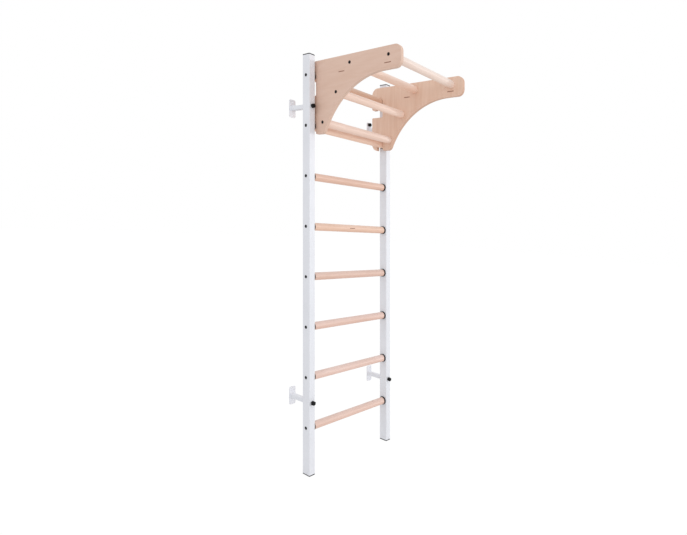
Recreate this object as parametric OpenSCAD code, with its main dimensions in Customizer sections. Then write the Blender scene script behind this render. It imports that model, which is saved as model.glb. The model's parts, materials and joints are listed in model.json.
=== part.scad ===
// Wall ladder with a hook-on pull-up unit: two steel posts, eight beech rungs,
// four wall brackets held by star knobs, and a plywood unit that hangs from
// the top rung and leans on the next one. X runs along the rungs, the wall is
// the plane Y = 0 and the floor is Z = 0, so everything stands in front of
// the wall at -Y.

/* [Frame] */
// Overall height, from the floor to the top of the end caps
frame_h = 2400; // [2000:10:2900]
// Overall width over the outer faces of the posts
frame_w = 670; // [500:5:900]
// Post width, across the ladder
post_w = 40; // [36:1:56]
// Post depth, from front to back
post_d = 60; // [56:1:80]
// Wall thickness of the post tube
post_wall = 2; // [1.5:0.5:3]
// Outer corner radius of the post tube
post_r = 4; // [3.5:0.5:8]
// Distance from the back of the posts to the wall
wall_gap = 122; // [60:1:200]
// Height of the rim of an end cap or a foot
cap_rim = 6; // [2:0.5:10]
// Depth of the cap's plug inside the post
cap_plug = 22; // [10:1:40]

/* [Rungs] */
// Diameter of a rung
rung_d = 45; // [32:1:46]
// Height of the lowest rung's centre
first_rung_z = 268; // [200:1:350]
// Distance from the top of the frame down to the top rung's centre
top_rung_drop = 122; // [110:1:180]
// Thickness of the collar of a rung bush
collar_t = 9; // [1.5:0.5:12]
// How far the collar stands out round the rung
collar_rim = 3; // [3:0.5:5]
// Wall thickness of the bush's sleeve
sleeve_wall = 1.6; // [1:0.2:2]

/* [Wall brackets] */
// Width of the wall plate
plate_w = 42; // [36:1:70]
// Height of the wall plate
plate_h = 105; // [90:1:150]
// Thickness of the wall plate
plate_t = 4; // [3:0.5:8]
// Corner radius of the wall plate
plate_r = 10; // [4:1:18]
// Distance between the plate's two holes
plate_holes = 77; // [60:1:84]
// Diameter of the plate's holes
plate_hole_d = 7; // [6:0.5:12]
// Side of the square arm tube
arm_w = 25; // [20:1:34]
// Wall thickness of the arm tube
arm_wall = 2; // [1.5:0.5:3]
// Distance from the top rung down to the upper brackets
upper_bracket_drop = 175; // [110:1:185]
// Distance from the lowest rung up to the lower brackets
lower_bracket_rise = 146; // [100:1:185]
// Diameter of the black cap over one of the plate's screws
screw_cap_d = 23; // [18:1:28]
// Height of this cap in front of the plate
screw_cap_h = 18; // [12:1:24]

/* [Star knobs] */
// Diameter over the lobes
knob_d = 25; // [22:1:36]
// Thickness of the lobed head
knob_head_t = 17; // [8:1:20]
// Diameter of the neck between the head and the post
knob_neck_d = 17; // [14:1:22]
// Length of the neck
knob_neck_t = 3; // [2:1:12]
// Number of lobes
knob_lobes = 6; // [5:1:8]
// Diameter of the knob's stud
stud_d = 8; // [6:1:10]

/* [Pull-up unit] */
// Thickness of a side panel
panel_t = 18; // [15:1:27]
// Gap between a panel and the collars of the rung bushes
panel_play = 2; // [1:0.5:10]
// Distance from the front of the posts to the front of the unit
reach = 640; // [560:5:800]
// Height of the front end of a panel
tip_h = 119; // [105:1:160]
// Length of the straight lower edge at the front end
tip_len = 115; // [90:1:160]
// Height of the panel above the top rung's centre
top_rise = 90; // [75:1:110]
// Width of the leg at its lower end, in front of the lower rung
leg_w = 67; // [58:1:100]
// Distance from the lower rung's centre down to the end of the leg
leg_drop = 42; // [34:1:70]
// Width of the hook's finger behind the rung
finger_w = 46; // [36:1:60]
// Distance from the top rung's centre down to the tip of the upper finger
finger_drop = 58; // [45:1:70]
// Play of a rung in its slot, at the front and at the back
slot_play = 2; // [1:0.5:4]
// Gap between the lower rung and the top of its slot
low_slot_gap = 4; // [0.5:0.5:8]
// Corner radius at the front end
tip_r = 40; // [15:1:50]
// Corner radius at the back of the panel
back_r = 48; // [20:1:55]
// Corner radius at the lower end of the leg
leg_r = 30; // [10:1:36]
// Diameter of the four pull bars
bar_d = 47; // [32:1:48]
// Depth of the seat that each bar end sits in
bar_seat = 5; // [2:0.5:9]
// Distance of the front and the second bar from the posts' front face
top_bar_reach = [555, 271]; // [200:1:590]
// Distance of these two bars below the panel's top edge
top_bar_drop = 45; // [36:1:60]
// Distance of the third bar from the posts' front face
third_bar_reach = 162; // [140:1:190]
// Distance of the third bar below the top rung
third_bar_drop = 104; // [70:1:115]
// Distance of the lowest bar from the posts' front face
low_bar_reach = 51; // [30:1:60]
// Height of the lowest bar above the lower rung
low_bar_rise = 23; // [15:1:60]

/* [Fasteners] */
// Diameter of the bolts in the rungs and bars
bolt_d = 8; // [6:1:10]
// Diameter of their black button heads
head_d = 18; // [11:0.5:20]
// Height of the heads
head_h = 4; // [2.5:0.1:5]
// Distance that a bolt goes into the wood
bolt_bite = 30; // [18:1:45]
// Outer diameter of the threaded inserts in the wood
insert_d = 12; // [11:0.5:16]
// Length of the inserts
insert_l = 22; // [12:1:30]

/* [Hidden] */
// Clearances: cap plugs and bushes, bolts in drilled holes, threads, resting rungs
fit_gap = 0.2;
hole_play = 0.4;
thread_gap = 0.05;
seat_gap = 0.3;
past = 1; // how far a cutting shape runs past the face it cuts

rungs = 8;
post_front = -(wall_gap + post_d);
post_mid_y = post_front + post_d / 2;
post_x = (frame_w - post_w) / 2;
inner_x = frame_w / 2 - post_w;
rung_l = frame_w - 2 * post_wall;
top_rung_z = frame_h - top_rung_drop;
rung_pitch = (top_rung_z - first_rung_z) / (rungs - 1);
low_rung_z = top_rung_z - rung_pitch;
upper_bracket_z = top_rung_z - upper_bracket_drop;
lower_bracket_z = first_rung_z + lower_bracket_rise;

collar_d = rung_d + 2 * collar_rim;
bush_bore_d = rung_d + 2 * fit_gap;
bush_d = bush_bore_d + 2 * sleeve_wall;
bush_hole_d = bush_d + 2 * fit_gap;
bush_tail = 5; // sleeve beyond the post's wall
bolt_hole_d = bolt_d + hole_play;
socket_d = 5;
socket_depth = 2.2;
insert_flange_t = 1.2;
insert_flange_d = insert_d + 4;

stud_hole_d = stud_d + hole_play;
spacer_d = stud_d + 6; // steel sleeve that keeps the knob from crushing the post
arm_inner_r = 1; // inner corners of the bracket's square tube
boss_l = 16; // threaded boss in the end of the arm
stud_l = post_d + boss_l - 2; // stretch of the stud behind the knob
held_l = knob_neck_t + knob_head_t / 2; // stretch of the stud moulded into the knob

outer_panel_x = inner_x - collar_t - panel_play;
inner_panel_x = outer_panel_x - panel_t;
slot_w = rung_d + 2 * slot_play;
slot_front = post_mid_y - slot_w / 2;
slot_back = slot_front + slot_w;
slot_r = 8; // inner corners of the slot, the radius of the cutter
heel_r = finger_w - 1; // rounding of the leg's end behind the lower slot
panel_front = post_front - reach;
panel_back = slot_back + finger_w;
panel_top = top_rung_z + top_rise;
panel_low = low_rung_z - leg_drop;
tip_low = panel_top - tip_h;
entry_h = slot_w + 1; // way in behind the slot, for the rung
finger_z = top_rung_z - finger_drop;
step_z = finger_z - entry_h;
finger_r = 14;
step_r = 6;
// The hollow front edge: an arc that starts level at the tip's lower edge and
// ends at the front of the leg
arc_y = panel_front + tip_len;
leg_front = slot_front - leg_w;
arc_run = leg_front - arc_y;
arc_drop = tip_low - panel_low;
arc_r = (pow(arc_run, 2) + pow(arc_drop, 2)) / (2 * arc_drop);
arc_z = tip_low - arc_r;
// Bars as [y, z], from the front one to the lowest
bars = [[post_front - top_bar_reach[0], panel_top - top_bar_drop],
        [post_front - top_bar_reach[1], panel_top - top_bar_drop],
        [post_front - third_bar_reach, top_rung_z - third_bar_drop],
        [post_front - low_bar_reach, low_rung_z + low_bar_rise]];
bar_l = 2 * (inner_panel_x + bar_seat);

white = "white";
black = "#1a1a1c";
beech = "#e3bfa6";
plywood = "#d0ae98";
steel = "silver";

$fn = 64;

// ---- helpers ----

function rung_z(i) = first_rung_z + (i - 1) * rung_pitch;

// side is -1 for the left and 1 for the right; pieces are drawn for the right
module on_side(side) {
    if (side < 0) mirror([1, 0, 0]) children();
    else children();
}

module round_rect(w, d, r) {
    square([w - 2 * r, d], center = true);
    square([w, d - 2 * r], center = true);
    for (x = [-1, 1], y = [-1, 1])
        translate([x * (w / 2 - r), y * (d / 2 - r)]) circle(r);
}

// A cylinder that starts at the origin and runs along +X
module rod_x(d, l) {
    rotate([0, 90, 0]) cylinder(d = d, h = l);
}

// A cylinder that starts at the origin and runs along +Y
module rod_y(d, l) {
    rotate([-90, 0, 0]) cylinder(d = d, h = l);
}

// What a square corner loses when it is rounded: [0, 0] is the corner, and the
// material lies towards +x and +y
module corner_waste(r) {
    difference() {
        translate([-past, -past]) square(r + past);
        translate([r, r]) circle(r);
    }
}

// A dowel of wood along X, centred on the origin, with both ends chamfered
module dowel(d, l, chamfer = 1) {
    rotate([0, 90, 0]) rotate_extrude()
        polygon([[0, -l / 2], [d / 2 - chamfer, -l / 2], [d / 2, chamfer - l / 2],
                 [d / 2, l / 2 - chamfer], [d / 2 - chamfer, l / 2], [0, l / 2]]);
}

// The hole for a threaded insert, from the end of a dowel at x towards -x
module insert_hole(x) {
    translate([x - bolt_bite - 2, 0, 0]) rod_x(bolt_hole_d, bolt_bite + 2 + past);
    translate([x - insert_l, 0, 0]) rod_x(insert_d + 2 * thread_gap, insert_l + past);
    translate([x - insert_flange_t, 0, 0]) rod_x(insert_flange_d + 2 * thread_gap, insert_flange_t + past);
}

// A threaded insert whose flange is flush with the end of the wood at x = 0
module insert() {
    color(steel) difference() {
        union() {
            translate([-insert_l, 0, 0]) rod_x(insert_d, insert_l);
            translate([-insert_flange_t, 0, 0]) rod_x(insert_flange_d, insert_flange_t);
        }
        translate([-insert_l - past, 0, 0]) rod_x(bolt_d + 2 * thread_gap, insert_l + 2 * past);
    }
}

// A button head bolt whose head lies on the face x = 0 and whose shank runs
// through `grip` of material and then bolt_bite into the wood, towards -x
module bolt(grip) {
    shank_l = grip + bolt_bite;
    head_r = head_d / 2;
    edge_h = head_h / 3; // straight edge below the dome
    dome_h = head_h - edge_h;
    dome_r = (pow(head_r, 2) + pow(dome_h, 2)) / (2 * dome_h);
    color(black) rotate([0, 90, 0]) difference() {
        rotate_extrude() {
            translate([0, -shank_l]) square([bolt_d / 2, shank_l]);
            square([head_r, edge_h]);
            intersection() {
                square([head_r, head_h]);
                translate([0, head_h - dome_r]) circle(dome_r);
            }
        }
        translate([0, 0, head_h - socket_depth])
            cylinder(d = socket_d / cos(30), h = socket_depth + past, $fn = 6);
    }
}

// ---- frame ----

module post(side) {
    tube_l = frame_h - 2 * cap_rim;
    color(white) on_side(side) translate([post_x, post_mid_y, 0]) difference() {
        translate([0, 0, cap_rim]) linear_extrude(tube_l) difference() {
            round_rect(post_w, post_d, post_r);
            round_rect(post_w - 2 * post_wall, post_d - 2 * post_wall, post_r - post_wall);
        }
        for (i = [1 : rungs]) translate([0, 0, rung_z(i)]) {
            translate([-post_w / 2 - past, 0, 0]) rod_x(bush_hole_d, post_wall + 2 * past);
            rod_x(bolt_hole_d, post_w);
        }
        for (z = [lower_bracket_z, upper_bracket_z])
            translate([0, -post_d / 2 - past, z]) rod_y(stud_hole_d, post_d + 2 * past);
    }
}

// End cap: a rim as wide as the post and a ribbed plug inside it, drawn with
// the rim upwards from z = 0
module end_cap() {
    plug_w = post_w - 2 * post_wall - 2 * fit_gap;
    plug_d = post_d - 2 * post_wall - 2 * fit_gap;
    plug_r = post_r - post_wall - fit_gap;
    shell = 2.5; // wall of the plug
    hollow_r = 1; // corners of the hollow inside the plug
    edge = 1; // step that softens the rim's top edge
    color(black) {
        linear_extrude(cap_rim - edge) round_rect(post_w, post_d, post_r);
        translate([0, 0, cap_rim - edge]) linear_extrude(edge)
            round_rect(post_w - 2 * edge, post_d - 2 * edge, post_r - edge);
        translate([0, 0, -cap_plug]) linear_extrude(cap_plug) {
            difference() {
                round_rect(plug_w, plug_d, plug_r);
                round_rect(plug_w - 2 * shell, plug_d - 2 * shell, hollow_r);
            }
            square([plug_w - shell, shell], center = true);
            square([shell, plug_d - shell], center = true);
        }
    }
}

module top_cap(side) {
    on_side(side) translate([post_x, post_mid_y, frame_h - cap_rim]) end_cap();
}

module foot(side) {
    on_side(side) translate([post_x, post_mid_y, cap_rim]) mirror([0, 0, 1]) end_cap();
}

// ---- rungs ----

module rung(i) {
    color(beech) translate([0, post_mid_y, rung_z(i)]) difference() {
        dowel(rung_d, rung_l);
        for (side = [-1, 1]) on_side(side) insert_hole(rung_l / 2);
    }
}

// Plastic bush in the post's inner face: a collar on the face and a sleeve
// through the wall
module rung_bushes(side) {
    bore_r = bush_bore_d / 2;
    collar_r = collar_d / 2;
    tail = post_wall + bush_tail;
    edge = 1; // chamfer of the collar's rim
    color(black) on_side(side) for (i = [1 : rungs])
        translate([inner_x, post_mid_y, rung_z(i)]) rotate([0, 90, 0]) rotate_extrude()
            polygon([[bore_r, -collar_t], [collar_r - edge, -collar_t], [collar_r, edge - collar_t],
                     [collar_r, 0], [bush_d / 2, 0], [bush_d / 2, tail], [bore_r, tail]]);
}

module rung_bolts(side) {
    on_side(side) for (i = [1 : rungs])
        translate([frame_w / 2, post_mid_y, rung_z(i)]) bolt(post_wall);
}

module rung_inserts(side) {
    on_side(side) for (i = [1 : rungs])
        translate([rung_l / 2, post_mid_y, rung_z(i)]) insert();
}

// ---- wall brackets and knobs ----

// Every piece of a bracket is drawn for the right post
module at_bracket(side, z) {
    on_side(side) translate([post_x, 0, z]) children();
}

module bracket(side, z) {
    arm_l = wall_gap - plate_t;
    color(white) at_bracket(side, z) difference() {
        union() {
            rotate([90, 0, 0]) linear_extrude(plate_t) round_rect(plate_w, plate_h, plate_r);
            translate([0, -plate_t, 0]) rotate([90, 0, 0]) linear_extrude(arm_l) difference() {
                round_rect(arm_w, arm_w, arm_inner_r + arm_wall);
                round_rect(arm_w - 2 * arm_wall, arm_w - 2 * arm_wall, arm_inner_r);
            }
        }
        for (s = [-1, 1])
            translate([0, -plate_t - past, s * plate_holes / 2]) rod_y(plate_hole_d, plate_t + 2 * past);
    }
}

// Square threaded boss welded in the open end of each arm
module bracket_bosses() {
    boss_w = arm_w - 2 * arm_wall - 2 * thread_gap;
    color(steel) for (side = [-1, 1], z = [lower_bracket_z, upper_bracket_z])
        at_bracket(side, z) translate([0, -wall_gap, 0]) difference() {
            rotate([-90, 0, 0]) linear_extrude(boss_l) round_rect(boss_w, boss_w, arm_inner_r - thread_gap);
            translate([0, -past, 0]) rod_y(stud_d + 2 * thread_gap, boss_l + 2 * past);
        }
}

module post_spacers() {
    spacer_l = post_d - 2 * post_wall;
    color(steel) for (side = [-1, 1], z = [lower_bracket_z, upper_bracket_z])
        at_bracket(side, z) translate([0, post_front + post_wall, 0]) difference() {
            rod_y(spacer_d, spacer_l);
            translate([0, -past, 0]) rod_y(stud_hole_d, spacer_l + 2 * past);
        }
}

// Domed cap over the screw in the upper right plate's top hole
module screw_cap() {
    cap_r = screw_cap_d / 2;
    crown = 5; // height of the domed front
    dome_r = (pow(cap_r, 2) + pow(crown, 2)) / (2 * crown);
    color(black) at_bracket(1, upper_bracket_z) translate([0, -plate_t, plate_holes / 2]) {
        intersection() {
            translate([0, -screw_cap_h, 0]) rod_y(screw_cap_d, screw_cap_h);
            translate([0, dome_r - screw_cap_h, 0]) sphere(dome_r);
        }
        rod_y(plate_hole_d - 2 * fit_gap, plate_t);
    }
}

module knob(side, z) {
    head_r = knob_d / 2;
    scallop_r = 0.34 * head_r; // the hollows between the lobes
    scallop_x = head_r + 0.45 * scallop_r; // distance of their centres from the axis
    crown = 3; // height of the domed front
    dome_r = (pow(head_r, 2) + pow(crown, 2)) / (2 * crown);
    color(black) at_bracket(side, z) translate([0, post_front, 0]) rotate([90, 0, 0]) difference() {
        union() {
            cylinder(d = knob_neck_d, h = knob_neck_t);
            translate([0, 0, knob_neck_t]) intersection() {
                linear_extrude(knob_head_t) difference() {
                    circle(head_r);
                    for (i = [1 : knob_lobes]) rotate(360 * i / knob_lobes)
                        translate([scallop_x, 0]) circle(scallop_r);
                }
                translate([0, 0, knob_head_t - dome_r]) sphere(dome_r);
            }
        }
        translate([0, 0, -past]) cylinder(d = stud_d + 2 * thread_gap, h = past + held_l);
    }
}

module stud(side, z) {
    color(steel) at_bracket(side, z) translate([0, post_front - held_l, 0]) rod_y(stud_d, held_l + stud_l);
}

// ---- pull-up unit ----

// Outline of a side panel, x standing for Y and y for Z
module panel_outline() {
    leg_z = panel_low + leg_r;
    leg_y = arc_y + sqrt(pow(arc_r + leg_r, 2) - pow(leg_z - arc_z, 2));
    // share of the way to the arc's centre, a little past where the two arcs meet
    leg_t = 1.1 * leg_r / (arc_r + leg_r);
    difference() {
        translate([panel_front, panel_low]) square([panel_back - panel_front, panel_top - panel_low]);
        // hollow front edge and what lies below the tip
        translate([arc_y, arc_z]) circle(arc_r, $fn = 360);
        translate([panel_front - past, panel_low - past])
            square([tip_len + past, tip_low - panel_low + past]);
        // rounded corners of the tip and the back
        translate([panel_front, tip_low]) corner_waste(tip_r);
        translate([panel_front, panel_top]) mirror([0, 1]) corner_waste(tip_r);
        translate([panel_back, panel_top]) rotate(180) corner_waste(back_r);
        translate([panel_back, panel_low]) mirror([1, 0]) corner_waste(heel_r);
        // rounded lower end of the leg, in front
        difference() {
            polygon([[leg_y, leg_z], [leg_y, panel_low - past],
                     [leg_front - leg_r, panel_low - past],
                     [leg_y + (arc_y - leg_y) * leg_t, leg_z + (arc_z - leg_z) * leg_t]]);
            translate([leg_y, leg_z]) circle(leg_r);
        }
        translate([slot_front, panel_low]) mirror([1, 0]) corner_waste(slot_r);
        // upper slot and the way in behind it
        slot(top_rung_z, step_z, seat_gap);
        translate([slot_back - past, step_z]) square([finger_w + 2 * past, entry_h]);
        translate([slot_back, finger_z]) corner_waste(finger_r);
        translate([panel_back, finger_z]) mirror([1, 0]) corner_waste(finger_r);
        translate([panel_back, step_z]) rotate(180) corner_waste(step_r);
        // lower slot, open at the end of the leg
        slot(low_rung_z, panel_low - slot_w, low_slot_gap);
    }
}

// A slot with a round top that lies `gap` above the rung at height z, down to z_low
module slot(z, z_low, gap) {
    crown_z = z + rung_d / 2 + gap - slot_w / 2;
    translate([post_mid_y, crown_z]) circle(slot_w / 2);
    translate([slot_front, z_low]) difference() {
        square([slot_w, crown_z - z_low]);
        corner_waste(slot_r);
    }
}

module panel(side) {
    color(plywood) on_side(side) difference() {
        translate([inner_panel_x, 0, 0]) rotate([90, 0, 90]) linear_extrude(panel_t) panel_outline();
        for (b = bars) translate([inner_panel_x, b[0], b[1]]) {
            translate([-past, 0, 0]) rod_x(bar_d + 2 * fit_gap, bar_seat + past);
            rod_x(bolt_hole_d, panel_t + past);
        }
    }
}

module pull_bar(i) {
    color(beech) translate([0, bars[i][0], bars[i][1]]) difference() {
        dowel(bar_d, bar_l);
        for (side = [-1, 1]) on_side(side) insert_hole(bar_l / 2);
    }
}

module panel_bolts(side) {
    on_side(side) for (b = bars)
        translate([outer_panel_x, b[0], b[1]]) bolt(panel_t - bar_seat);
}

module bar_inserts(side) {
    on_side(side) for (b = bars) translate([bar_l / 2, b[0], b[1]]) insert();
}

// ---- nodes ----

post(-1);  // left_post
post(1);  // right_post
top_cap(-1);  // left_top_cap
top_cap(1);  // right_top_cap
foot(-1);  // left_foot
foot(1);  // right_foot
for (i = [1 : rungs])
    rung(i);
rung_bushes(-1);  // left_rung_bushes
rung_bushes(1);  // right_rung_bushes
rung_bolts(-1);  // left_rung_bolts
rung_bolts(1);  // right_rung_bolts
rung_inserts(-1);  // left_rung_inserts
rung_inserts(1);  // right_rung_inserts
bracket(-1, upper_bracket_z);  // upper_left_bracket
bracket(1, upper_bracket_z);  // upper_right_bracket
bracket(-1, lower_bracket_z);  // lower_left_bracket
bracket(1, lower_bracket_z);  // lower_right_bracket
bracket_bosses();
post_spacers();
screw_cap();
knob(-1, upper_bracket_z);  // upper_left_knob
knob(1, upper_bracket_z);  // upper_right_knob
knob(-1, lower_bracket_z);  // lower_left_knob
knob(1, lower_bracket_z);  // lower_right_knob
stud(-1, upper_bracket_z);  // upper_left_stud
stud(1, upper_bracket_z);  // upper_right_stud
stud(-1, lower_bracket_z);  // lower_left_stud
stud(1, lower_bracket_z);  // lower_right_stud
panel(-1);  // left_panel
panel(1);  // right_panel
pull_bar(0);  // front_pull_bar
pull_bar(1);  // second_pull_bar
pull_bar(2);  // third_pull_bar
pull_bar(3);  // low_pull_bar
panel_bolts(-1);  // left_panel_bolts
panel_bolts(1);  // right_panel_bolts
bar_inserts(-1);  // left_bar_inserts
bar_inserts(1);  // right_bar_inserts
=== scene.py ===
import json
import math
import bmesh
import bpy
from mathutils import Matrix, Vector

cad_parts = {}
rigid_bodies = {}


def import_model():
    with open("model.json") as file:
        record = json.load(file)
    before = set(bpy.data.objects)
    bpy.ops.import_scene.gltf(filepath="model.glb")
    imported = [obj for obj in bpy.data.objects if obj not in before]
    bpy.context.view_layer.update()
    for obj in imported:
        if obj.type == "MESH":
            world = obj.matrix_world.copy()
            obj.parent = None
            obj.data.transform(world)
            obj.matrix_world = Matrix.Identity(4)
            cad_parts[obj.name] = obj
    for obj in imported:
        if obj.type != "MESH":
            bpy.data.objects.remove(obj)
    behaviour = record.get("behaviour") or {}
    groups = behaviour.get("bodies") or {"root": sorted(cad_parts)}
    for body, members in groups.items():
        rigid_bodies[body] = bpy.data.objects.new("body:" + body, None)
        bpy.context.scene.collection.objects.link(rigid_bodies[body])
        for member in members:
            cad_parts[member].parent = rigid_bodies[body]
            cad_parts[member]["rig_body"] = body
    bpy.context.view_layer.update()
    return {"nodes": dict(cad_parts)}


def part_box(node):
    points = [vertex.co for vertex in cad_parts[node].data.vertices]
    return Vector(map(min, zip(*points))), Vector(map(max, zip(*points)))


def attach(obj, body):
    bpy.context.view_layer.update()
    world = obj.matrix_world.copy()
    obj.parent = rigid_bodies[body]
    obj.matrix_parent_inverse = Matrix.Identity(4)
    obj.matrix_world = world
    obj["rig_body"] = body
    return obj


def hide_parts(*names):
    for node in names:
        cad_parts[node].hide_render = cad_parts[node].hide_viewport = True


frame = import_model()


# sizes that several pieces share, read off the frame
cornersOf = {node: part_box(node) for node in frame["nodes"]}


def centreOf(node):
    low, high = cornersOf[node]
    return (low + high) / 2


def radiusOf(rod):
    # rods lie along x
    low, high = cornersOf[rod]
    return (high.z - low.z) / 2


def bodyOf(node):
    return frame["nodes"][node]["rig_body"]


rungNodes = [f"rung_{i}" for i in range(1, 9)]
barNodes = ["front_pull_bar", "second_pull_bar", "third_pull_bar", "low_pull_bar"]
sides = {"left": -1, "right": 1}
levels = ("upper", "lower")
postFront = cornersOf["right_post"][0].y
postInner = cornersOf["right_post"][0].x


# the camera stands to the left of the ladder and looks along the level; the
# view leans a little, so level edges tilt while the posts stay upright
camera = {
    "place": (-2.1066, -2.4182, 1.4549),
    "turn": 54.94,       # degrees from the wall's normal towards the ladder
    "lens": 25.35,
    "sensor": 36.0,
    "shiftX": -0.160,
    "shiftY": -0.056,
    "lean": 0.0648,      # rise of a level line for each unit across the view
    "reach": 100,        # how far the camera sees, in metres
}


def placeCamera():
    data = bpy.data.cameras.new("camera")
    data.lens = camera["lens"]
    data.sensor_width = camera["sensor"]
    data.shift_x = camera["shiftX"]
    data.shift_y = camera["shiftY"]
    data.clip_end = camera["reach"]
    cam = bpy.data.objects.new("camera", data)
    bpy.context.scene.collection.objects.link(cam)
    turn = math.radians(camera["turn"])
    forward = Vector((math.sin(turn), math.cos(turn), 0))
    up = Vector((0, 0, 1))
    across = (Vector((math.cos(turn), -math.sin(turn), 0)) + camera["lean"] * up).normalized()
    leaning = Matrix((across, up, -forward)).transposed().to_4x4()
    leaning.translation = Vector(camera["place"])
    stand = bpy.data.objects.new("camera_stand", None)
    bpy.context.scene.collection.objects.link(stand)
    cam.parent = stand
    cam.matrix_parent_inverse = leaning
    bpy.context.scene.camera = cam


placeCamera()
print("camera placed")

light = {
    "world": 0.915,
    "worldTint": (0.985, 0.990, 1.0),
    "shownWhite": 1.0,     # the world as the camera and gloss see it
    "floorHalf": 30.0,     # half the floor's side, in metres
    "floorWhite": 0.76,
    "floorGlow": 0.80,     # the share of the floor that always shows white
    "glowStrength": 1.10,
}

# parallel soft lamps, each with the direction that its light comes from
lamps = {
    "key": {"strength": 0.48, "from": (0.705, -0.705, 0.087), "softness": 8.0},
    "fill": {"strength": 0.27, "from": (-0.360, -0.930, 0.070), "softness": 24.0},
}


def shownDirectly(tree):
    # 1 where the camera, a gloss or a clear part sees the surface, else 0
    path = tree.nodes.new("ShaderNodeLightPath")
    seen = maths(tree, "MAXIMUM", path.outputs["Is Camera Ray"], path.outputs["Is Glossy Ray"])
    return maths(tree, "MAXIMUM", seen, path.outputs["Is Transmission Ray"])


def lightWorld():
    world = bpy.data.worlds.new("studio")
    bpy.context.scene.world = world
    world.use_nodes = True
    tree = world.node_tree
    tree.nodes.clear()
    output = tree.nodes.new("ShaderNodeOutputWorld")
    lit = tree.nodes.new("ShaderNodeBackground")
    lit.inputs["Color"].default_value = (*light["worldTint"], 1)
    lit.inputs["Strength"].default_value = light["world"]
    seen = tree.nodes.new("ShaderNodeBackground")
    seen.inputs["Color"].default_value = (1, 1, 1, 1)
    seen.inputs["Strength"].default_value = light["shownWhite"]
    mix = tree.nodes.new("ShaderNodeMixShader")
    link(tree, shownDirectly(tree), mix.inputs[0])
    link(tree, lit.outputs[0], mix.inputs[1])
    link(tree, seen.outputs[0], mix.inputs[2])
    link(tree, mix.outputs[0], output.inputs["Surface"])


def hangLamps():
    for name, lamp in lamps.items():
        data = bpy.data.lights.new(name, "SUN")
        data.energy = lamp["strength"]
        data.angle = math.radians(lamp["softness"])
        sun = bpy.data.objects.new(name, data)
        sun.rotation_euler = (-Vector(lamp["from"])).to_track_quat("-Z", "Y").to_euler()
        bpy.context.scene.collection.objects.link(sun)


def layFloor():
    mesh = bpy.data.meshes.new("floor")
    half = light["floorHalf"]
    corners = [(-half, -half, 0), (half, -half, 0), (half, half, 0), (-half, half, 0)]
    mesh.from_pydata(corners, [], [(0, 1, 2, 3)])
    floor = bpy.data.objects.new("floor", mesh)
    bpy.context.scene.collection.objects.link(floor)
    material = bpy.data.materials.new("pale_floor")
    material.use_nodes = True
    tree = material.node_tree
    tree.nodes.clear()
    output = tree.nodes.new("ShaderNodeOutputMaterial")
    matt = tree.nodes.new("ShaderNodeBsdfDiffuse")
    matt.inputs["Color"].default_value = (*[light["floorWhite"]] * 3, 1)
    glow = tree.nodes.new("ShaderNodeEmission")
    glow.inputs["Strength"].default_value = light["glowStrength"]
    share = maths(tree, "MULTIPLY", shownDirectly(tree), light["floorGlow"])
    mix = tree.nodes.new("ShaderNodeMixShader")
    link(tree, share, mix.inputs[0])
    link(tree, matt.outputs[0], mix.inputs[1])
    link(tree, glow.outputs[0], mix.inputs[2])
    link(tree, mix.outputs[0], output.inputs["Surface"])
    mesh.materials.append(material)


# node helpers that the light and every finish use
def link(tree, fromSocket, toSocket):
    tree.links.new(fromSocket, toSocket)


def startMaterial(name):
    material = bpy.data.materials.new(name)
    material.use_nodes = True
    tree = material.node_tree
    tree.nodes.clear()
    output = tree.nodes.new("ShaderNodeOutputMaterial")
    surface = tree.nodes.new("ShaderNodeBsdfPrincipled")
    link(tree, surface.outputs[0], output.inputs["Surface"])
    return material, tree, surface


def objectPlace(tree, scale=(1, 1, 1), shift=(0, 0, 0)):
    # the point on the piece, moved by shift and then scaled
    coords = tree.nodes.new("ShaderNodeTexCoord")
    mapping = tree.nodes.new("ShaderNodeMapping")
    mapping.inputs["Scale"].default_value = scale
    mapping.inputs["Location"].default_value = [a * b for a, b in zip(shift, scale)]
    link(tree, coords.outputs["Object"], mapping.inputs["Vector"])
    return mapping.outputs["Vector"]


def noise(tree, place, scale=1.0, detail=2.0, roughness=0.5, distortion=0.0):
    node = tree.nodes.new("ShaderNodeTexNoise")
    node.inputs["Scale"].default_value = scale
    node.inputs["Detail"].default_value = detail
    node.inputs["Roughness"].default_value = roughness
    node.inputs["Distortion"].default_value = distortion
    link(tree, place, node.inputs["Vector"])
    return node.outputs["Fac"]


def spread(tree, value, low, high, fromLow=0.0, fromHigh=1.0):
    node = tree.nodes.new("ShaderNodeMapRange")
    node.inputs["From Min"].default_value = fromLow
    node.inputs["From Max"].default_value = fromHigh
    node.inputs["To Min"].default_value = low
    node.inputs["To Max"].default_value = high
    link(tree, value, node.inputs["Value"])
    return node.outputs["Result"]


def maths(tree, operation, first, second=0.0):
    node = tree.nodes.new("ShaderNodeMath")
    node.operation = operation
    for socket, value in zip(node.inputs, (first, second)):
        if isinstance(value, (int, float)):
            socket.default_value = value
        else:
            link(tree, value, socket)
    return node.outputs[0]


def clamped(tree, value):
    return maths(tree, "MINIMUM", maths(tree, "MAXIMUM", value, 0.0), 1.0)


def blendColour(tree, share, first, second, kind="MIX"):
    # a mix node holds its two colours in sockets 6 and 7, and gives the blend at output 2
    node = tree.nodes.new("ShaderNodeMix")
    node.data_type = "RGBA"
    node.blend_type = kind
    for socket, value in ((node.inputs[0], share), (node.inputs[6], first), (node.inputs[7], second)):
        if isinstance(value, (int, float)):
            socket.default_value = value
        elif isinstance(value, tuple):
            socket.default_value = (*value, 1)
        else:
            link(tree, value, socket)
    return node.outputs[2]


def roughen(tree, surface, height, distance):
    node = tree.nodes.new("ShaderNodeBump")
    node.inputs["Strength"].default_value = 1.0
    node.inputs["Distance"].default_value = distance
    link(tree, height, node.inputs["Height"])
    link(tree, node.outputs[0], surface.inputs["Normal"])


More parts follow.
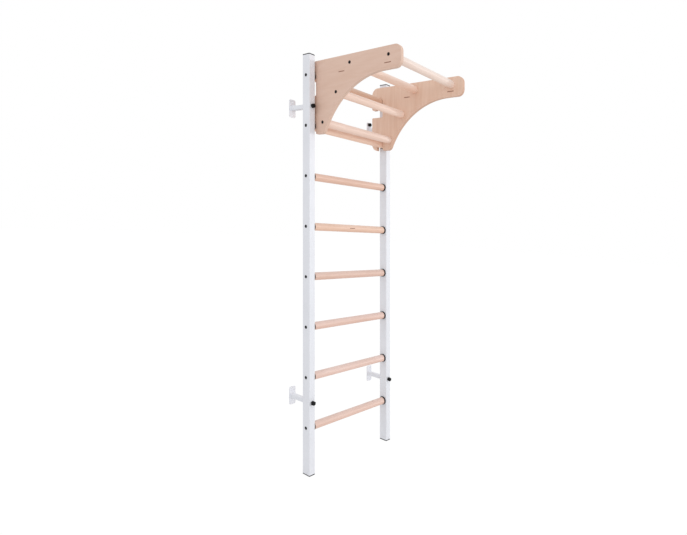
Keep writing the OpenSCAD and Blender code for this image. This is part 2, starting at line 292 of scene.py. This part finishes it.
beech = {
    "light": (0.890, 0.660, 0.525),
    "dark": (0.805, 0.565, 0.430),
    "fleck": (0.560, 0.330, 0.215),
    "paintedLightTop": (0.940, 0.995, 1.030),    # painted light: cooler and paler on the upper side; painted shade, warmer, below
    "paintedShadeBelow": (1.060, 0.985, 0.930),
    "ring": 0.0031,                  # spacing of the growth rings, in metres
    "ringStretch": (0.07, 1, 1),     # the rings hardly change along the bar
    "ringWaver": 2.4,
    "ringDetail": 3.0,
    "ringDetailScale": 0.35,
    "ringShare": 0.55,               # how dark the rings make the wood
    "fibreStretch": (22, 900, 900),
    "fibreDetail": 3,
    "fibreShare": (0.6, 1.3),
    "cloudStretch": (4.5, 30, 30),
    "cloudDetail": 2,
    "cloudWaver": 0.5,
    "cloudBand": (0.3, 0.7),
    "cloudShare": (-0.15, 0.55),
    "fleckStretch": (170, 950, 950),
    "fleckRim": (0.12, 0.32),        # where a fleck starts to fade, and where it ends
    "fleckRarity": 0.72,             # the share of cells that hold no fleck
    "fleckShare": 0.5,
    "roughness": (0.41, 0.54),
    "gloss": 0.85,
    "pores": 0.00012,                # depth of the fibres and flecks, in metres
}

# the wave texture repeats this many times in a length of two pi
wavesInTwoPi = 20

# each turned piece has its own factor for the wood's tone, which also holds painted light and shade: darker
# on shaded rungs such as rung_8, paler and cooler on the brightly lit bars; and each has its pith at its own
# place beside the axis, in metres along y and z
turnedWood = {
    "rung_1": {"toneAndPaintedLight": (0.938, 0.896, 0.960), "pith": (0.031, 0.058)},
    "rung_2": {"toneAndPaintedLight": (0.960, 0.946, 1.044), "pith": (-0.047, 0.036)},
    "rung_3": {"toneAndPaintedLight": (0.934, 0.891, 0.963), "pith": (0.052, -0.041)},
    "rung_4": {"toneAndPaintedLight": (0.899, 0.854, 0.901), "pith": (0.024, 0.071)},
    "rung_5": {"toneAndPaintedLight": (0.988, 0.924, 0.908), "pith": (-0.062, -0.028)},
    "rung_6": {"toneAndPaintedLight": (0.941, 0.862, 0.872), "pith": (0.066, 0.019)},
    "rung_7": {"toneAndPaintedLight": (1.085, 1.065, 1.087), "pith": (0.031, 0.058)},
    "rung_8": {"toneAndPaintedLight": (0.907, 0.849, 0.821), "pith": (-0.047, 0.036)},
    "front_pull_bar": {"toneAndPaintedLight": (1.065, 1.225, 1.410), "pith": (0.024, 0.071)},
    "second_pull_bar": {"toneAndPaintedLight": (1.129, 1.175, 1.262), "pith": (-0.062, -0.028)},
    "third_pull_bar": {"toneAndPaintedLight": (1.102, 1.181, 1.304), "pith": (0.066, 0.019)},
    "low_pull_bar": {"toneAndPaintedLight": (1.056, 1.122, 1.237), "pith": (0.052, -0.041)},
}


def growthRings(tree, shift):
    rings = tree.nodes.new("ShaderNodeTexWave")
    rings.wave_type = "RINGS"
    rings.rings_direction = "X"
    rings.wave_profile = "SAW"
    rings.inputs["Scale"].default_value = 2 * math.pi / (wavesInTwoPi * beech["ring"])
    rings.inputs["Distortion"].default_value = beech["ringWaver"]
    rings.inputs["Detail"].default_value = beech["ringDetail"]
    rings.inputs["Detail Scale"].default_value = beech["ringDetailScale"]
    link(tree, objectPlace(tree, beech["ringStretch"], shift), rings.inputs["Vector"])
    return rings.outputs["Fac"]


def beechFlecks(tree, shift):
    # beech's short dark flecks, a few millimetres long: some cells of a fine net
    cells = tree.nodes.new("ShaderNodeTexVoronoi")
    cells.inputs["Scale"].default_value = 1.0
    cells.inputs["Randomness"].default_value = 1.0
    link(tree, objectPlace(tree, beech["fleckStretch"], shift), cells.inputs["Vector"])
    pick = tree.nodes.new("ShaderNodeSeparateColor")
    link(tree, cells.outputs["Color"], pick.inputs[0])
    near = spread(tree, cells.outputs["Distance"], 1.0, 0.0, *beech["fleckRim"])
    chosen = maths(tree, "GREATER_THAN", pick.outputs[0], beech["fleckRarity"])
    return maths(tree, "MULTIPLY", maths(tree, "MULTIPLY", near, chosen), beech["fleckShare"])


def paintedLightTint(tree, node):
    # painted light and shade: a tint that turns from warm painted shade on a bar's underside to cool painted
    # light on its top
    axis = centreOf(node)
    radius = radiusOf(node)
    height = tree.nodes.new("ShaderNodeSeparateXYZ")
    link(tree, objectPlace(tree), height.inputs[0])
    upper = spread(tree, height.outputs["Z"], 0.0, 1.0, axis.z - radius, axis.z + radius)
    return blendColour(tree, upper, beech["paintedShadeBelow"], beech["paintedLightTop"])


def beechMaterial(node):
    # turned from a plank: the growth rings run round a pith that lies outside the bar
    material, tree, surface = startMaterial("beech_" + node)
    axis = centreOf(node)
    pith = turnedWood[node]["pith"]
    shift = (pith[0], pith[0] - axis.y, pith[1] - axis.z)
    fibre = noise(tree, objectPlace(tree, beech["fibreStretch"], shift), detail=beech["fibreDetail"])
    cloud = noise(tree, objectPlace(tree, beech["cloudStretch"], shift), detail=beech["cloudDetail"],
                  distortion=beech["cloudWaver"])
    share = maths(tree, "MULTIPLY", spread(tree, growthRings(tree, shift), 0.0, beech["ringShare"]),
                  spread(tree, fibre, *beech["fibreShare"]))
    share = maths(tree, "ADD", share, spread(tree, cloud, *beech["cloudShare"], *beech["cloudBand"]))
    wood = blendColour(tree, clamped(tree, share), beech["light"], beech["dark"])
    flecks = beechFlecks(tree, shift)
    wood = blendColour(tree, flecks, wood, beech["fleck"])
    # the piece's own tone, with painted light and shade mixed in
    wood = blendColour(tree, 1.0, wood, turnedWood[node]["toneAndPaintedLight"], "MULTIPLY")
    # painted light on the top and painted shade below
    wood = blendColour(tree, 1.0, wood, paintedLightTint(tree, node), "MULTIPLY")
    link(tree, wood, surface.inputs["Base Color"])
    surface.inputs["Specular IOR Level"].default_value = beech["gloss"]
    link(tree, spread(tree, fibre, *beech["roughness"]), surface.inputs["Roughness"])
    roughen(tree, surface, maths(tree, "SUBTRACT", fibre, flecks), beech["pores"])
    return material


plywood = {
    "veneer": (0.800, 0.570, 0.460),
    "streak": (0.730, 0.490, 0.375),
    "glue": (0.550, 0.350, 0.250),
    "endGrain": (0.790, 0.555, 0.440),
    "longGrain": (0.870, 0.640, 0.520),
    "shiftPerX": (7, 11, 5),           # moves the grain, so that the panels differ
    "broadDetail": 4,
    "broadRoughness": 0.62,
    "broadWaver": 0.6,
    "fineDetail": 3,
    "streakBand": (0.3, 0.72),
    "streakShare": (-0.35, 1.05),      # for a veneer with a figure of 1
    "fineShare": (-0.12, 0.22),
    "waveScale": 5.0,
    "waveWaver": 7.0,
    "waveDetail": 2.5,
    "waveShare": 0.28,                 # for a veneer with a figure of 1
    "plies": 13,
    "fibreStretch": (2600, 260, 260),
    "fibreDetail": 2,
    "fibreShare": 0.25,
    "glueLine": 0.06,                  # each side of a joint, as a share of a ply
    "glueShare": 0.6,
    "veneerThick": 0.0005,
    "veneerFade": 0.7,                 # how deep the face's colour goes, as a share of the veneer
    "roughness": (0.43, 0.58),
    "pores": 0.0001,
}

# the veneer's grain lies level on one panel and upright on the other; each panel's tone factor also holds
# painted light, which brightens the right panel's face where it lies in more shade; edge is painted shade
# that darkens the right panel's plies where its edge faces down
veneers = {
    "left": {"broad": (1, 3.2, 30), "fine": (1, 12, 420), "wave": (1, 0.5, 2.0), "figure": 0.60,
             "toneAndPaintedLight": (1.00, 0.99, 0.985), "edge": (1.0, 1.0, 1.0)},
    "right": {"broad": (1, 42, 2.6), "fine": (1, 330, 8), "wave": (1, 2.6, 0.5), "figure": 0.80,
              "toneAndPaintedLight": (1.08, 1.085, 1.055), "edge": (0.84, 0.73, 0.68)},
}


def cathedralWaves(tree, stretch, shift):
    waves = tree.nodes.new("ShaderNodeTexWave")
    waves.wave_type = "BANDS"
    waves.bands_direction = "DIAGONAL"
    waves.inputs["Scale"].default_value = plywood["waveScale"]
    waves.inputs["Distortion"].default_value = plywood["waveWaver"]
    waves.inputs["Detail"].default_value = plywood["waveDetail"]
    waves.inputs["Detail Scale"].default_value = 1.0
    link(tree, objectPlace(tree, stretch, shift), waves.inputs["Vector"])
    return waves.outputs["Fac"]


def plyLayers(tree, across, fibres, low, high):
    # plies counted across the thickness, with a thin dark glue line at each joint
    depth = spread(tree, across, 0.0, plywood["plies"], low, high)
    step = maths(tree, "FRACT", depth)
    odd = maths(tree, "MODULO", maths(tree, "FLOOR", depth), 2.0)
    ply = blendColour(tree, odd, plywood["longGrain"], plywood["endGrain"])
    ply = blendColour(tree, spread(tree, fibres, 0.0, plywood["fibreShare"]), ply, plywood["glue"])
    fromMiddle = maths(tree, "ABSOLUTE", maths(tree, "SUBTRACT", step, 0.5))
    line = maths(tree, "GREATER_THAN", fromMiddle, 0.5 - plywood["glueLine"])
    return blendColour(tree, maths(tree, "MULTIPLY", line, plywood["glueShare"]), ply, plywood["glue"])


def plywoodMaterial(side):
    # a figured veneer on both faces, and plies that show wherever the edge is cut
    veneerPlan = veneers[side]
    figure = veneerPlan["figure"]
    low, high = cornersOf[side + "_panel"]
    material, tree, surface = startMaterial("plywood_" + side)
    shift = tuple(low.x * factor for factor in plywood["shiftPerX"])
    wide = noise(tree, objectPlace(tree, veneerPlan["broad"], shift), detail=plywood["broadDetail"],
                 roughness=plywood["broadRoughness"], distortion=plywood["broadWaver"])
    fine = noise(tree, objectPlace(tree, veneerPlan["fine"], shift), detail=plywood["fineDetail"])
    waves = cathedralWaves(tree, veneerPlan["wave"], shift)
    streaks = [figure * part for part in plywood["streakShare"]]
    share = maths(tree, "ADD", spread(tree, wide, *streaks, *plywood["streakBand"]),
                  spread(tree, fine, *plywood["fineShare"]))
    share = maths(tree, "ADD", share, spread(tree, waves, 0.0, plywood["waveShare"] * figure))
    veneer = blendColour(tree, clamped(tree, share), plywood["veneer"], plywood["streak"])
    split = tree.nodes.new("ShaderNodeSeparateXYZ")
    link(tree, objectPlace(tree), split.inputs[0])
    across = split.outputs["X"]
    fibres = noise(tree, objectPlace(tree, plywood["fibreStretch"], shift), detail=plywood["fibreDetail"])
    ply = plyLayers(tree, across, fibres, low.x, high.x)
    # painted shade on the plies of the right panel's edge
    ply = blendColour(tree, 1.0, ply, veneerPlan["edge"], "MULTIPLY")
    nearest = maths(tree, "MINIMUM", maths(tree, "SUBTRACT", across, low.x),
                    maths(tree, "SUBTRACT", high.x, across))
    thick = plywood["veneerThick"]
    inside = spread(tree, nearest, 0.0, 1.0, thick * plywood["veneerFade"], thick)
    # the panel's tone, with painted light on the right panel
    wood = blendColour(tree, 1.0, blendColour(tree, inside, veneer, ply), veneerPlan["toneAndPaintedLight"], "MULTIPLY")
    link(tree, wood, surface.inputs["Base Color"])
    link(tree, spread(tree, fine, *plywood["roughness"]), surface.inputs["Roughness"])
    relief = maths(tree, "ADD", fine, maths(tree, "MULTIPLY", inside, fibres))
    roughen(tree, surface, relief, plywood["pores"])
    return material


powderCoat = {
    "colour": (0.845, 0.855, 0.900),
    "dull": (0.820, 0.830, 0.875),
    "patchScale": 6,
    "patchDetail": 3,
    "patchBand": (0.35, 0.65),
    "roughness": (0.36, 0.48),
    "peelScale": 650,
    "peelDetail": 2,
    "peel": 0.00006,         # height of the fine orange peel, in metres
}


def powderCoatMaterial():
    material, tree, surface = startMaterial("powderCoatWhite")
    peel = noise(tree, objectPlace(tree), powderCoat["peelScale"], powderCoat["peelDetail"])
    patch = noise(tree, objectPlace(tree), powderCoat["patchScale"], powderCoat["patchDetail"])
    paint = blendColour(tree, spread(tree, patch, 0.0, 1.0, *powderCoat["patchBand"]),
                        powderCoat["colour"], powderCoat["dull"])
    link(tree, paint, surface.inputs["Base Color"])
    link(tree, spread(tree, patch, *powderCoat["roughness"]), surface.inputs["Roughness"])
    roughen(tree, surface, peel, powderCoat["peel"])
    return material


plastic = {
    "colour": (0.006, 0.006, 0.007),
    "rubbed": (0.016, 0.016, 0.018),
    "rubScale": 160,
    "rubDetail": 4,
    "rubRoughness": 0.65,
    "rubBand": (0.5, 0.8),
    "rubShare": 0.8,
    "roughness": (0.46, 0.64),
    "gloss": 0.16,
    "sparkScale": 2400,
    "sparkDetail": 2,
    "spark": 0.00005,        # height of the mould's spark texture, in metres
}


def plasticMaterial():
    # moulded with a fine spark texture that is a little paler where it is rubbed
    material, tree, surface = startMaterial("mouldedBlack")
    spark = noise(tree, objectPlace(tree), plastic["sparkScale"], plastic["sparkDetail"])
    rub = noise(tree, objectPlace(tree), plastic["rubScale"], plastic["rubDetail"], plastic["rubRoughness"])
    skin = blendColour(tree, spread(tree, rub, 0.0, plastic["rubShare"], *plastic["rubBand"]),
                       plastic["colour"], plastic["rubbed"])
    link(tree, skin, surface.inputs["Base Color"])
    surface.inputs["Specular IOR Level"].default_value = plastic["gloss"]
    link(tree, spread(tree, spark, *plastic["roughness"]), surface.inputs["Roughness"])
    roughen(tree, surface, spark, plastic["spark"])
    return material


blackSteel = {
    "colour": (0.005, 0.005, 0.006),
    "paler": (0.014, 0.014, 0.016),
    "mottleScale": 900,
    "mottleDetail": 3,
    "mottleBand": (0.45, 0.75),
    "roughness": (0.31, 0.51),
    "gloss": 0.18,
    "relief": 0.00002,
}


def blackSteelMaterial():
    # blacked steel with a faint mottle
    material, tree, surface = startMaterial("boltBlack")
    mottle = noise(tree, objectPlace(tree), blackSteel["mottleScale"], blackSteel["mottleDetail"])
    coat = blendColour(tree, spread(tree, mottle, 0.0, 1.0, *blackSteel["mottleBand"]),
                       blackSteel["colour"], blackSteel["paler"])
    link(tree, coat, surface.inputs["Base Color"])
    surface.inputs["Specular IOR Level"].default_value = blackSteel["gloss"]
    link(tree, spread(tree, mottle, *blackSteel["roughness"]), surface.inputs["Roughness"])
    roughen(tree, surface, mottle, blackSteel["relief"])
    return material


zinc = {
    "colour": (0.62, 0.62, 0.60),
    "dull": (0.44, 0.45, 0.45),
    "spangleScale": 500,
    "spangleShare": 0.6,
    "roughness": (0.32, 0.44),
    "relief": 0.00002,
}


def zincMaterial():
    material, tree, surface = startMaterial("zincPlate")
    spangle = tree.nodes.new("ShaderNodeTexVoronoi")
    spangle.inputs["Scale"].default_value = zinc["spangleScale"]
    link(tree, objectPlace(tree), spangle.inputs["Vector"])
    share = spread(tree, spangle.outputs["Distance"], 0.0, zinc["spangleShare"])
    link(tree, blendColour(tree, share, zinc["colour"], zinc["dull"]), surface.inputs["Base Color"])
    surface.inputs["Metallic"].default_value = 1.0
    link(tree, spread(tree, share, *zinc["roughness"]), surface.inputs["Roughness"])
    roughen(tree, surface, share, zinc["relief"])
    return material


burnt = {
    "colour": (0.250, 0.098, 0.056),
    "edge": (0.420, 0.210, 0.138),
    "charScale": 700,
    "charDetail": 3,
    "charBand": (0.4, 0.7),
    "roughness": 0.75,
    "relief": 0.0001,
}


def burntMaterial():
    # wood scorched with a hot iron
    material, tree, surface = startMaterial("burntDash")
    char = noise(tree, objectPlace(tree), burnt["charScale"], burnt["charDetail"])
    scorch = blendColour(tree, spread(tree, char, 0.0, 1.0, *burnt["charBand"]),
                         burnt["colour"], burnt["edge"])
    link(tree, scorch, surface.inputs["Base Color"])
    surface.inputs["Roughness"].default_value = burnt["roughness"]
    roughen(tree, surface, char, burnt["relief"])
    return material


powderCoatWhite = powderCoatMaterial()
mouldedBlack = plasticMaterial()
boltBlack = blackSteelMaterial()
zincPlate = zincMaterial()
burntDash = burntMaterial()
print("finishes mixed")


# mesh helpers
meshing = {
    "sharp": math.radians(30),       # an edge that turns more than this is a sharp one
    "flat": math.radians(0.5),       # faces that turn less than this become one
    "weldWithin": 1e-6,              # in metres
}


def makePiece(name, bm, material, body, replaced=()):
    bmesh.ops.recalc_face_normals(bm, faces=bm.faces)
    mesh = bpy.data.meshes.new(name)
    bm.to_mesh(mesh)
    bm.free()
    mesh.materials.append(material)
    mesh.shade_smooth()
    mesh.set_sharp_from_angle(angle=meshing["sharp"])
    piece = bpy.data.objects.new(name, mesh)
    bpy.context.scene.collection.objects.link(piece)
    if replaced:
        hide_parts(*replaced)
    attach(piece, body)
    return piece


def applyModifiers(piece):
    bpy.context.view_layer.update()
    graph = bpy.context.evaluated_depsgraph_get()
    final = bpy.data.meshes.new_from_object(piece.evaluated_get(graph))
    piece.modifiers.clear()
    piece.data = final


def easedCopy(node, width, material, steps=3, keepSharp=None):
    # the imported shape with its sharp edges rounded, apart from those that keepSharp picks
    bm = bmesh.new()
    bm.from_mesh(frame["nodes"][node].data)
    bmesh.ops.remove_doubles(bm, verts=bm.verts, dist=meshing["weldWithin"])
    bmesh.ops.dissolve_limit(bm, angle_limit=meshing["flat"], verts=bm.verts, edges=bm.edges)
    weight = bm.edges.layers.float.new("bevel_weight_edge")
    for edge in bm.edges:
        if edge.calc_face_angle(0) > meshing["sharp"] and not (keepSharp and keepSharp(edge)):
            edge[weight] = 1
    piece = makePiece(node + "_eased", bm, material, bodyOf(node), (node,))
    bevel = piece.modifiers.new("ease", "BEVEL")
    bevel.limit_method = "WEIGHT"
    bevel.width = width
    bevel.segments = steps
    bevel.harden_normals = True
    applyModifiers(piece)


def addRings(bm, rings, loop=False):
    # skins a row of rings that have the same number of points; a loop joins the
    # last ring to the first one, and a plain row is closed at both ends
    rows = [[bm.verts.new(point) for point in ring] for ring in rings]
    count = len(rows[0])
    pairs = list(zip(rows, rows[1:]))
    if loop:
        pairs.append((rows[-1], rows[0]))
    else:
        bm.faces.new(rows[0])
        bm.faces.new(rows[-1])
    for low, high in pairs:
        for i in range(count):
            j = (i + 1) % count
            bm.faces.new((low[i], low[j], high[j], high[i]))


# posts, rungs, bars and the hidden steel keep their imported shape
def dressNode(node, material):
    frame["nodes"][node].data.materials[0] = material


for post in ("left_post", "right_post"):
    dressNode(post, powderCoatWhite)
for hidden in ("left_rung_inserts", "right_rung_inserts", "left_bar_inserts", "right_bar_inserts",
               "bracket_bosses", "post_spacers",
               "upper_left_stud", "upper_right_stud", "lower_left_stud", "lower_right_stud"):
    dressNode(hidden, zincPlate)
print("posts and hidden steel dressed")

for node in turnedWood:
    dressNode(node, beechMaterial(node))
print("rungs and bars dressed")

panel = {
    "ease": 0.0020,      # rounding of the panel's edges
    "steps": 4,
    "holePlay": 0.001,   # how far beyond the bar an edge still belongs to the bar's seat
}
seats = [(centreOf(bar).y, centreOf(bar).z, radiusOf(bar) + panel["holePlay"]) for bar in barNodes]


def isHoleEdge(edge):
    # the edges of the bar seats and bolt holes stay crisp
    middle = (edge.verts[0].co + edge.verts[1].co) / 2
    return any(math.hypot(middle.y - y, middle.z - z) < r for y, z, r in seats)


def cutPanels():
    for side in sides:
        wood = plywoodMaterial(side)
        easedCopy(side + "_panel", panel["ease"], wood, panel["steps"], isHoleEdge)


cutPanels()
print("panels cut")

# plain dashes burnt into the panels' left faces and into one rung
dash = {
    "rung": "rung_5",
    "long": 0.047,
    "high": 0.0050,
    "proud": 0.00008,
    "deep": 0.0006,
    "belowTop": 0.086,                  # from the panel's top edge
    "fromFront": (0.091, 0.433),        # from the panel's front end
    "rungLong": 0.042,
    "rungHigh": 0.0040,
    "rungTilt": 4.0,                    # degrees above the level, round the rung
    "steps": 10,
}


def dashOutline(length, height):
    # a long slot shape with round ends, about the origin
    r = height / 2
    half = length / 2 - r
    outline = []
    for end, start in ((1, -90), (-1, 90)):
        for k in range(dash["steps"] + 1):
            a = math.radians(start + 180 * k / dash["steps"])
            outline.append((end * half + r * math.cos(a), r * math.sin(a)))
    return outline


def burnPanelDashes():
    outline = dashOutline(dash["long"], dash["high"])
    for side in sides:
        low, high = cornersOf[side + "_panel"]
        for k, back in enumerate(dash["fromFront"]):
            bm = bmesh.new()
            rings = []
            for x in (low.x + dash["deep"], low.x - dash["proud"]):
                rings.append([(x, low.y + back + a, high.z - dash["belowTop"] + b) for a, b in outline])
            addRings(bm, rings)
            makePiece(f"{side}_panel_dash_{k + 1}", bm, burntDash, "pull_up_unit")


def burnRungDash():
    centre = centreOf(dash["rung"])
    radius = radiusOf(dash["rung"])
    bm = bmesh.new()
    rings = []
    for r in (radius - dash["deep"], radius + dash["proud"]):
        ring = []
        for a, b in dashOutline(dash["rungLong"], dash["rungHigh"]):
            turn = math.radians(dash["rungTilt"]) + b / radius
            ring.append((centre.x + a, centre.y - r * math.cos(turn), centre.z + r * math.sin(turn)))
        rings.append(ring)
    addRings(bm, rings)
    makePiece("rung_dash", bm, burntDash, "ladder")


burnPanelDashes()
burnRungDash()
print("dashes burnt in")

bracket = {
    "ease": 0.0005,
    "easeSteps": 2,
    "armHalf": 0.0125,
    "plateThick": 0.004,
    "corner": 0.003,       # corners of the arm
    "cornerSteps": 6,
    "bead": 0.0034,        # leg of the weld round the arm
    "ripple": 0.07,        # height of the weld's ripples, as a share of the leg
    "ripples": 44,
    "stations": 264,       # round the weld
}

# the weld's section as shares of its leg: out from the arm, and up from the plate
weldSection = [(-0.1, 1.0), (0.0, 1.0), (0.28, 0.86), (0.56, 0.62), (0.82, 0.32),
               (1.0, 0.0), (1.0, -0.1), (-0.1, -0.1)]


def roundedSquare(half, corner):
    # points round a square with rounded corners
    points = []
    inset = half - corner
    for k, (sx, sz) in enumerate(((1, 1), (-1, 1), (-1, -1), (1, -1))):
        for i in range(bracket["cornerSteps"] + 1):
            a = math.radians(90 * k + 90 * i / bracket["cornerSteps"])
            points.append((sx * inset + corner * math.cos(a), sz * inset + corner * math.sin(a)))
    return points


def divided(points, count):
    # the closed line of points, walked in count equal steps
    lengths = [math.dist(a, b) for a, b in zip(points, points[1:] + points[:1])]
    total = sum(lengths)
    walked = []
    index = 0
    start = 0.0
    for k in range(count):
        goal = total * k / count
        while start + lengths[index] < goal:
            start += lengths[index]
            index += 1
        share = (goal - start) / lengths[index]
        a = points[index]
        b = points[(index + 1) % len(points)]
        walked.append((a[0] + (b[0] - a[0]) * share, a[1] + (b[1] - a[1]) * share))
    return walked


def layWeld(name, centre):
    bm = bmesh.new()
    count = bracket["stations"]
    wave = 2 * math.pi * bracket["ripples"] / count
    rings = []
    for out, rise in weldSection:
        grow = out * bracket["bead"]
        ripple = bracket["ripple"] if out > 0 and rise > 0 else 0.0
        ring = []
        loop = divided(roundedSquare(bracket["armHalf"] + grow, bracket["corner"] + max(grow, 0)), count)
        for k, (x, z) in enumerate(loop):
            swell = 1 + ripple * math.sin(wave * k)
            ring.append((centre.x + x, -bracket["plateThick"] - rise * bracket["bead"] * swell, centre.z + z))
        rings.append(ring)
    addRings(bm, rings, loop=True)
    makePiece(name, bm, powderCoatWhite, "ladder")


def makeBrackets():
    for level in levels:
        for side in sides:
            node = f"{level}_{side}_bracket"
            easedCopy(node, bracket["ease"], powderCoatWhite, bracket["easeSteps"])
            layWeld(f"{level}_{side}_weld", centreOf(node))


makeBrackets()
print("brackets welded")

plasticTrim = {
    "capEase": 0.0006,
    "screwCapEase": 0.0005,
}


def makeCaps():
    for side in sides:
        for node in (side + "_top_cap", side + "_foot"):
            easedCopy(node, plasticTrim["capEase"], mouldedBlack)
    easedCopy("screw_cap", plasticTrim["screwCapEase"], mouldedBlack)


makeCaps()
print("caps and feet made")

bush = {
    "play": 0.0002,        # between the rung and the bore
    "sleeveWall": 0.0016,
    "lip": 0.0012,         # rounding of the collar's rim
    "mouth": 0.0006,       # rounding of the bore's mouth
    "lipSteps": 6,
    "mouthSteps": 4,
    "around": 96,
}


def quarterTurn(steps):
    # sine and cosine at equal steps through a right angle, its start left out
    angles = [math.pi / 2 * k / steps for k in range(1, steps + 1)]
    return [(math.sin(a), math.cos(a)) for a in angles]


def bushProfile():
    # (distance behind the post's inner face, radius), from the sleeve's tail through
    # the bore and over the rounded collar
    low, high = cornersOf["right_rung_bushes"]
    bore = radiusOf("rung_1") + bush["play"]
    sleeve = bore + bush["sleeveWall"]
    collar = high.z - centreOf("rung_8").z
    front = low.x - postInner
    tail = high.x - postInner
    lip = bush["lip"]
    mouth = bush["mouth"]
    profile = [(tail, bore), (front + mouth, bore)]
    for rise, fall in quarterTurn(bush["mouthSteps"]):
        profile.append((front + mouth * (1 - rise), bore + mouth * (1 - fall)))
    profile.append((front, collar - lip))
    for rise, fall in quarterTurn(bush["lipSteps"]):
        profile.append((front + lip * (1 - fall), collar - lip * (1 - rise)))
    return profile + [(0.0, collar), (0.0, sleeve), (tail, sleeve)]


def ringRoundX(x, centre, radius, around):
    turns = [2 * math.pi * k / around for k in range(around)]
    return [(x, centre.y + radius * math.cos(a), centre.z + radius * math.sin(a)) for a in turns]


def makeBushes():
    profile = bushProfile()
    for side, sign in sides.items():
        node = side + "_rung_bushes"
        bm = bmesh.new()
        for rung in rungNodes:
            centre = centreOf(rung)
            rings = [ringRoundX(sign * (postInner + behind), centre, radius, bush["around"])
                     for behind, radius in profile]
            addRings(bm, rings, loop=True)
        makePiece(node + "_turned", bm, mouldedBlack, "ladder", (node,))


makeBushes()
print("bushes turned")

bolt = {
    "ease": 0.00025,
    "easeSteps": 2,
}


def makeBolts():
    for side in sides:
        for kind in ("rung", "panel"):
            easedCopy(f"{side}_{kind}_bolts", bolt["ease"], boltBlack, bolt["easeSteps"])


makeBolts()
print("bolts made")

knob = {
    "neckRadius": 0.0085,
    "neck": 0.003,
    "lobes": 6,
    "hollow": 0.0024,      # depth between two lobes
    "sharpness": 1.5,      # how narrow the hollows are
    "shallow": 0.5,        # what is left of the hollows at the head's rounded edges
    "backRim": 0.0018,
    "frontRim": 0.0034,
    "rimSteps": 6,
    "discRadius": 0.0058,  # flat disc in the middle of the front
    "discStep": 0.0006,
    "crown": 0.0006,       # rise of the front from its rim to the disc
    "ease": 0.0005,
    "around": 144,
}


def knobRings(radius, front):
    # rings as (height off the post, radius, share of the hollows' depth)
    neck = knob["neck"]
    ease = knob["ease"]
    disc = knob["discRadius"]
    floor = front - knob["discStep"]
    shoulder = front - knob["crown"]
    shallow = knob["shallow"]
    rings = [(0.0, knob["neckRadius"] - ease, 0.0), (ease, knob["neckRadius"], 0.0),
             (neck, knob["neckRadius"], 0.0)]
    for rise, fall in quarterTurn(knob["rimSteps"]):
        height = neck + knob["backRim"] * (1 - fall)
        rings.append((height, radius - knob["backRim"] * (1 - rise), shallow + (1 - shallow) * rise))
    for rise, fall in quarterTurn(knob["rimSteps"]):
        height = shoulder - knob["frontRim"] * (1 - rise)
        rings.append((height, radius - knob["frontRim"] * (1 - fall), shallow + (1 - shallow) * fall))
    rings += [(front - ease / 2, disc + 2 * ease, 0.0), (front, disc + ease, 0.0),
              (floor, disc, 0.0), (floor, disc - ease, 0.0)]
    return rings


def lobedRing(centre, height, radius, lobed):
    # a ring round the knob's axis, drawn in between the lobes
    ring = []
    for k in range(knob["around"]):
        a = 2 * math.pi * k / knob["around"]
        dip = (0.5 + 0.5 * math.cos(knob["lobes"] * a)) ** knob["sharpness"]
        r = radius - lobed * knob["hollow"] * dip
        ring.append((centre.x + r * math.cos(a), postFront - height, centre.z + r * math.sin(a)))
    return ring


def makeKnobs():
    for level in levels:
        for side in sides:
            node = f"{level}_{side}_knob"
            centre = centreOf(node)
            low, high = cornersOf[node]
            bm = bmesh.new()
            plan = knobRings((high.z - low.z) / 2, postFront - low.y)
            addRings(bm, [lobedRing(centre, height, radius, lobed) for height, radius, lobed in plan])
            makePiece(node + "_moulded", bm, mouldedBlack, node, (node,))


makeKnobs()
print("knobs moulded")

lightWorld()
hangLamps()
layFloor()
bpy.context.scene.view_settings.view_transform = "Standard"
print("studio lit")
